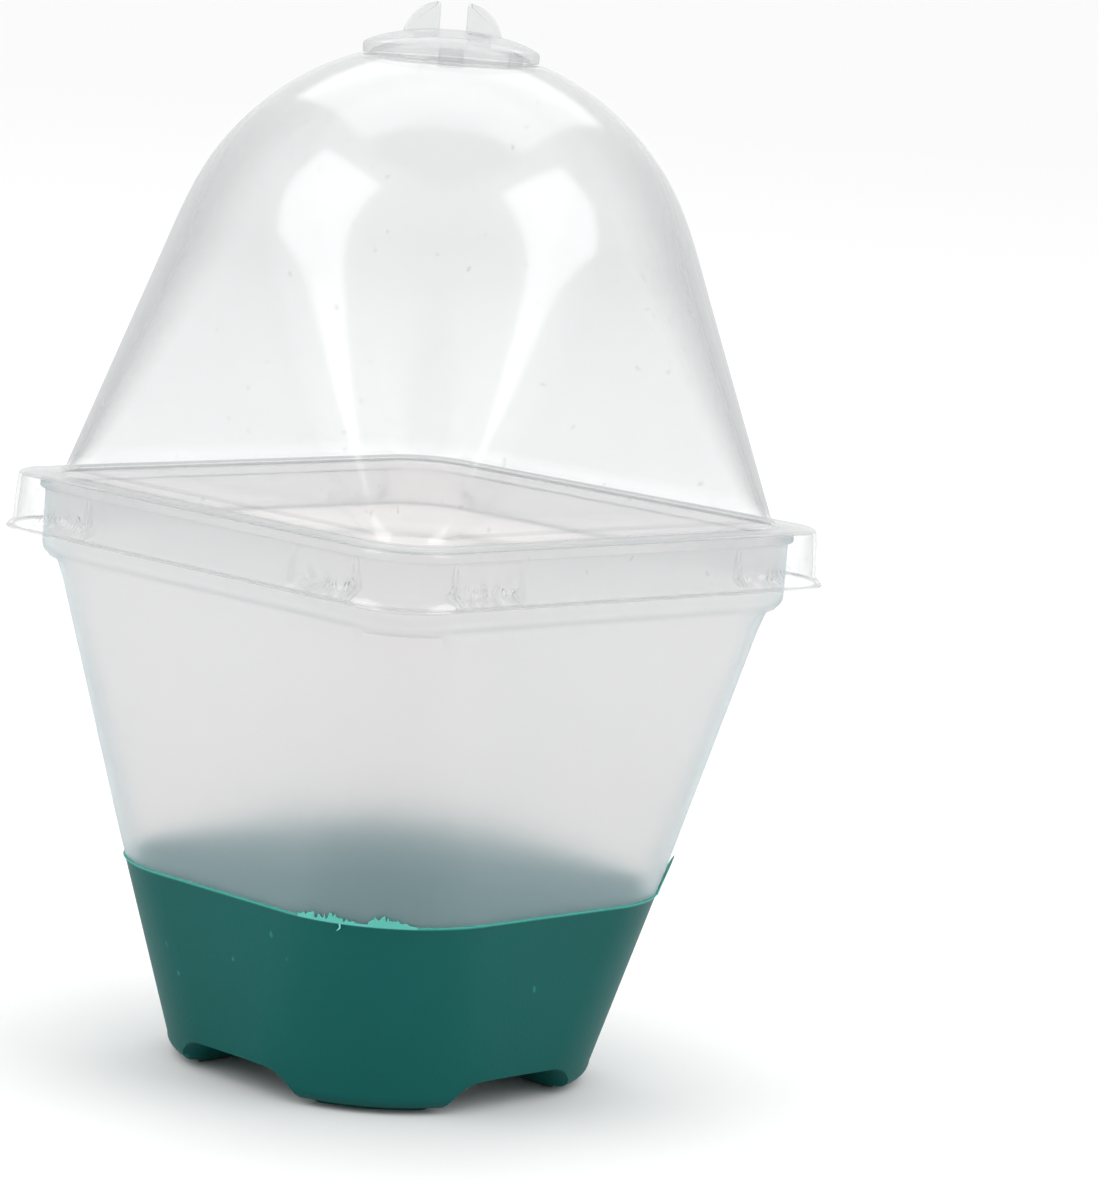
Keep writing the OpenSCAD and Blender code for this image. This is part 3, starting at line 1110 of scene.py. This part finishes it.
class SEEDPOT_OT_dial(bpy.types.Operator):
    """Builds the vent dial: crowned disc, rim, hub, stop peg, two finger fins and vent holes"""

    bl_idname = "seedpot.dial"
    bl_label = "Vent dial"

    def execute(self, context):
        s = context.scene.seed_dial
        radius = DIAL_HIGH.x
        hub_low = DIAL_LOW.z
        floor = hub_low + 1.6 * MM
        inner = radius - s.skin
        count = 96
        rings = []

        def ring(r, z):
            rings.append(circle(r, floor + z, count))

        for r, z in ((1.8, -1.6), (2.05, -1.58), (2.5, -1.05), (2.48, -1.0), (2.1, -1.0)):
            ring(r * MM, z * MM)
        under = s.rim - s.skin
        ring(2.1 * MM, crown_height(2.1 * MM, inner, under, s.rise) - 0.3 * MM)
        ring(2.4 * MM, crown_height(2.4 * MM, inner, under, s.rise) - 0.02 * MM)
        steps = 16
        for k in range(3, steps):
            r = inner * math.sin(math.pi / 2 * k / steps)
            ring(r, crown_height(r, inner, under, s.rise))
        ring(inner, 0.12 * MM)
        ring(inner + 0.12 * MM, 0.0)
        ring(radius - 0.2 * MM, 0.0)
        ring(radius - 0.05 * MM, 0.06 * MM)
        ring(radius, 0.22 * MM)
        ring(radius, s.rim - 0.3 * MM)
        ring(radius - 0.06 * MM, s.rim - 0.06 * MM)
        for k in range(steps - 1, 0, -1):
            r = (radius - 0.1 * MM) * math.sin(math.pi / 2 * k / steps)
            ring(r, crown_height(r, radius, s.rim, s.rise))
        dial = loft("vent_dial_body", rings)
        peg_a = s.fin_angle - math.radians(20)
        shift = Vector((PEG_OFFSET * math.cos(peg_a), PEG_OFFSET * math.sin(peg_a), 0))
        peg = [
            [p + shift for p in circle(r * MM, floor + z * MM, 32)]
            for r, z in ((0.95, -1.1), (1.15, -1.0), (1.2, -0.8), (1.2, s.rim / MM))
        ]
        combine(dial, loft("peg", peg), "UNION")
        root = s.rim + s.rise / 3
        top = DIAL_HIGH.z - floor
        for side in (0, 1):
            combine(dial, fin(s, floor, root, top, side), "UNION")
        for k in range(2):
            a = s.fin_angle - math.radians(52) + math.pi * k
            spot = (s.vent_offset * math.cos(a), s.vent_offset * math.sin(a))
            drill(dial, spot, s.vent, floor - 0.5 * MM, floor + s.rim + s.rise + 1 * MM)
        smooth(dial, 36)
        # 0.4 and 2.0 set the painted shade towards the dial's outline.
        dial.data.materials.append(
            clear_finish("clear moulding", s.haze, s.haze_share, 0.4, 2.0, 0.1, 1.0)
        )
        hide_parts("vent_dial")
        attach(dial, "vent_dial")
        return {"FINISHED"}


# ---------------------------------------------------------------- stage


def lamp(name, where, aim, width, height, power):
    """A plain soft box, turned towards a point."""
    data = bpy.data.lights.new(name, "AREA")
    data.shape = "RECTANGLE"
    data.size, data.size_y, data.energy = width, height, power
    obj = bpy.data.objects.new(name, data)
    obj.location = where
    obj.rotation_euler = (Vector(aim) - Vector(where)).to_track_quat("-Z", "Y").to_euler()
    bpy.context.scene.collection.objects.link(obj)


class SEEDPOT_OT_stage(bpy.types.Operator):
    """Builds the pale floor, the soft light and the camera"""

    bl_idname = "seedpot.stage"
    bl_label = "Stage"

    def execute(self, context):
        scene = context.scene
        s = scene.seed_stage
        rings = [circle(r, z, 96) for r, z in ((0.4, 0), (2.2, 0), (2.8, 0.06), (3.2, 0.25))]
        floor = loft("floor", rings, ends=(True, False))
        smooth(floor)
        floor.data.materials.append(floor_finish("pale paper", s.paper))

        world = bpy.data.worlds.new("Pale room")
        scene.world = world
        world.use_nodes = True
        ground = world.node_tree.nodes["Background"]
        ground.inputs["Color"].default_value = (1, 1, 1, 1)
        ground.inputs["Strength"].default_value = s.sky

        aim = (0, 0, 0.1)
        for side in (-1, 1):
            a = math.radians(VIEW_DIRECTION + 67 * side)
            e = math.radians(38)
            reach = 1.3
            where = (
                reach * math.sin(a) * math.cos(e),
                -reach * math.cos(a) * math.cos(e),
                0.1 + reach * math.sin(e),
            )
            lamp("side soft box", where, aim, 0.8, 0.9, s.key * 0.8)
        lamp("top soft box", (-0.45, 0.45, 1.35), aim, 1.5, 1.5, s.key * 1.35)

        data = bpy.data.cameras.new("camera")
        data.lens = s.lens
        data.sensor_width = 36
        data.clip_start, data.clip_end = 0.02, 20
        camera = bpy.data.objects.new("camera", data)
        camera.location = s.eye
        camera.rotation_euler = s.turn
        scene.collection.objects.link(camera)
        scene.camera = camera
        scene.view_settings.view_transform = "Standard"
        return {"FINISHED"}


OPERATORS = (
    SEEDPOT_OT_pot,
    SEEDPOT_OT_base,
    SEEDPOT_OT_flash,
    SEEDPOT_OT_dome,
    SEEDPOT_OT_dial,
    SEEDPOT_OT_stage,
)
SETTINGS = {
    "seed_pot": PotSettings,
    "seed_base": BaseSettings,
    "seed_dome": DomeSettings,
    "seed_dial": DialSettings,
    "seed_stage": StageSettings,
}


class SEEDPOT_PT_panel(bpy.types.Panel):
    """Lists the pieces and their settings"""

    bl_label = "Seed pot"
    bl_idname = "SEEDPOT_PT_panel"
    bl_space_type = "VIEW_3D"
    bl_region_type = "UI"
    bl_category = "Seed pot"

    def draw(self, context):
        for operator in OPERATORS:
            self.layout.operator(operator.bl_idname)
        for key in SETTINGS:
            box = self.layout.box()
            group = getattr(context.scene, key)
            for name in group.__annotations__:
                box.prop(group, name)


def register():
    for group in SETTINGS.values():
        bpy.utils.register_class(group)
    for key, group in SETTINGS.items():
        setattr(bpy.types.Scene, key, PointerProperty(type=group))
    for item in (*OPERATORS, SEEDPOT_PT_panel):
        bpy.utils.register_class(item)


def unregister():
    for item in (SEEDPOT_PT_panel, *reversed(OPERATORS)):
        bpy.utils.unregister_class(item)
    for key in SETTINGS:
        delattr(bpy.types.Scene, key)
    for group in reversed(SETTINGS.values()):
        bpy.utils.unregister_class(group)


def main():
    register()
    bpy.ops.seedpot.pot()
    bpy.ops.seedpot.base()
    bpy.ops.seedpot.flash()
    bpy.ops.seedpot.dome()
    bpy.ops.seedpot.dial()
    bpy.ops.seedpot.stage()
    deselect()


if __name__ == "__main__":
    main()
